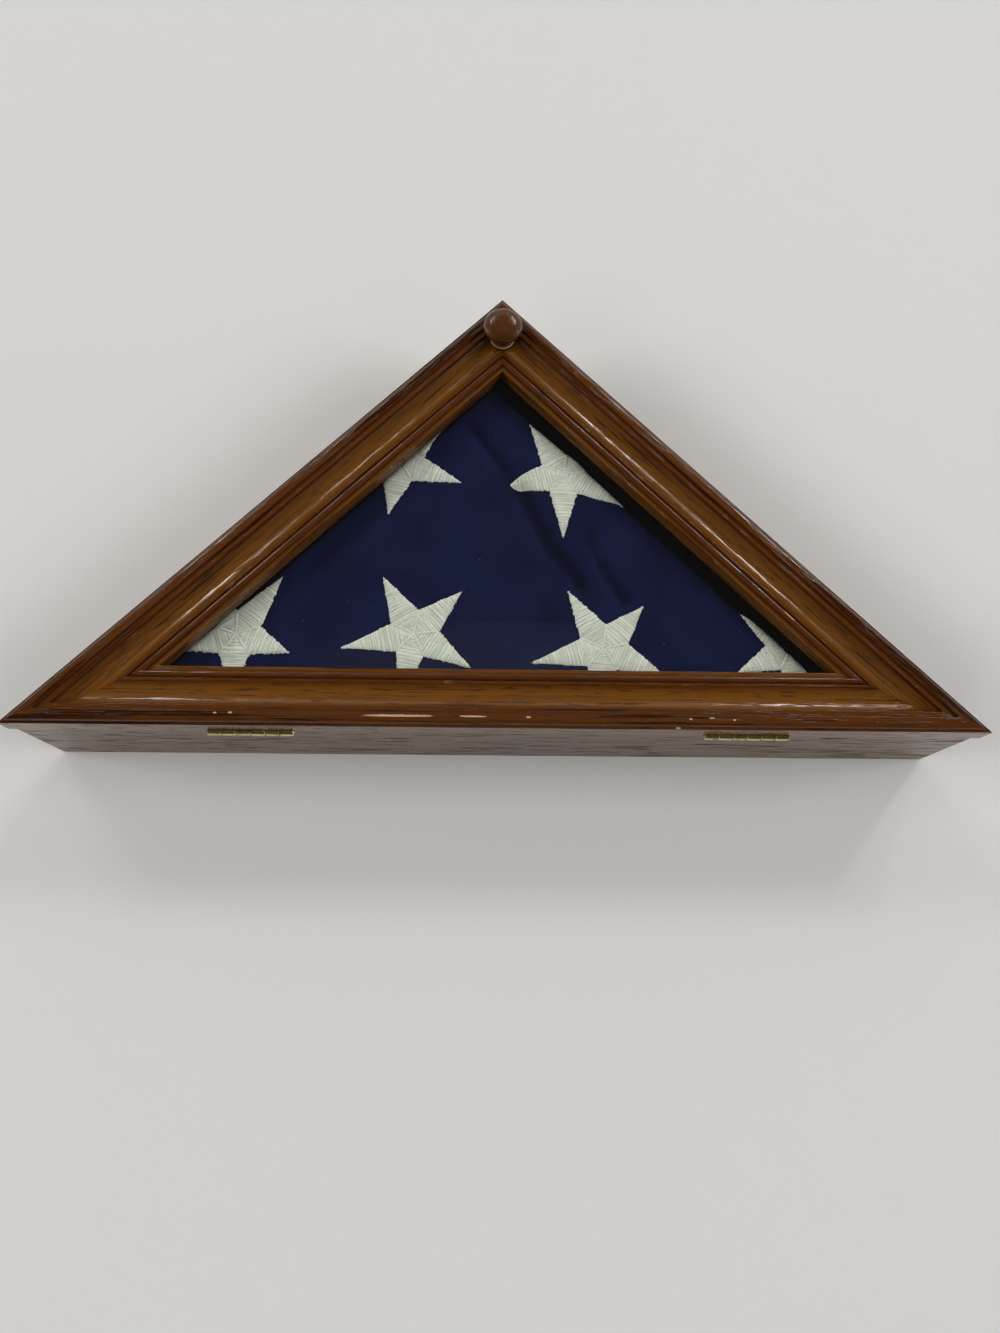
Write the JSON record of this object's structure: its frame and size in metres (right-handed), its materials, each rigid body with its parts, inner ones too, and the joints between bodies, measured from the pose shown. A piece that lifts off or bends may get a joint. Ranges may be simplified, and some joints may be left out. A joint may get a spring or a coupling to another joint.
{
  "type": "folded flag display case",
  "caption": "Triangular hardwood display case lying on its back, with a folded flag behind a glazed, moulded, hinged door with a turned knob.",
  "frame": {"origin": "middle of the bottom of the bounding box, on the surface that the case lies on", "axes": "+X along the long hinged side, +Y towards the apex with the knob, +Z out of the glazed door"},
  "size_m": [0.66, 0.3328, 0.1238],
  "materials": {
    "frame_wood": "satin lacquer over open grain, worn at the arrises",
    "case_wood": "satin lacquer, straight grain",
    "knob_wood": "gloss lacquer",
    "stop_wood": "plain stained strip",
    "back_plywood": "sanded plywood",
    "brass": "aged satin brass",
    "steel": "bright zinc plate",
    "clear_glass": "clear float glass",
    "flag_navy": "matt woven cotton",
    "star_thread": "satin-stitch embroidery thread",
    "catch_plastic": "moulded brown plastic",
    "magnet": "matt ferrite"
  },
  "bodies": {
    "case": {"base_board": "case_wood", "left_board": "case_wood", "right_board": "case_wood", "back_panel": "back_plywood", "back_panel_brads": "steel", "case_corner_brads": "steel", "left_hinge_case_leaf": "brass", "right_hinge_case_leaf": "brass", "left_hinge_pin": "brass", "right_hinge_pin": "brass", "case_leaf_screws": "brass", "catch_housing": "catch_plastic", "catch_magnet": "magnet", "catch_pole_plates": "steel", "catch_screws": "steel", "folded_flag": "flag_navy"},
    "door": {"door_base_rail": "frame_wood", "door_left_rail": "frame_wood", "door_right_rail": "frame_wood", "door_corner_brads": "steel", "glass_pane": "clear_glass", "base_glass_stop": "stop_wood", "left_glass_stop": "stop_wood", "right_glass_stop": "stop_wood", "glass_stop_brads": "steel", "left_hinge_door_leaf": "brass", "right_hinge_door_leaf": "brass", "door_leaf_screws": "brass", "knob": "knob_wood", "knob_screw": "steel", "strike_plate": "steel", "strike_screws": "steel"}
  },
  "joints": [
    {"name": "door", "type": "hinge", "parent": "case", "child": "door", "pos_m": [0, -0.16385, 0.0858], "axis": [1, 0, 0], "range_deg": [0, 180]}
  ]
}
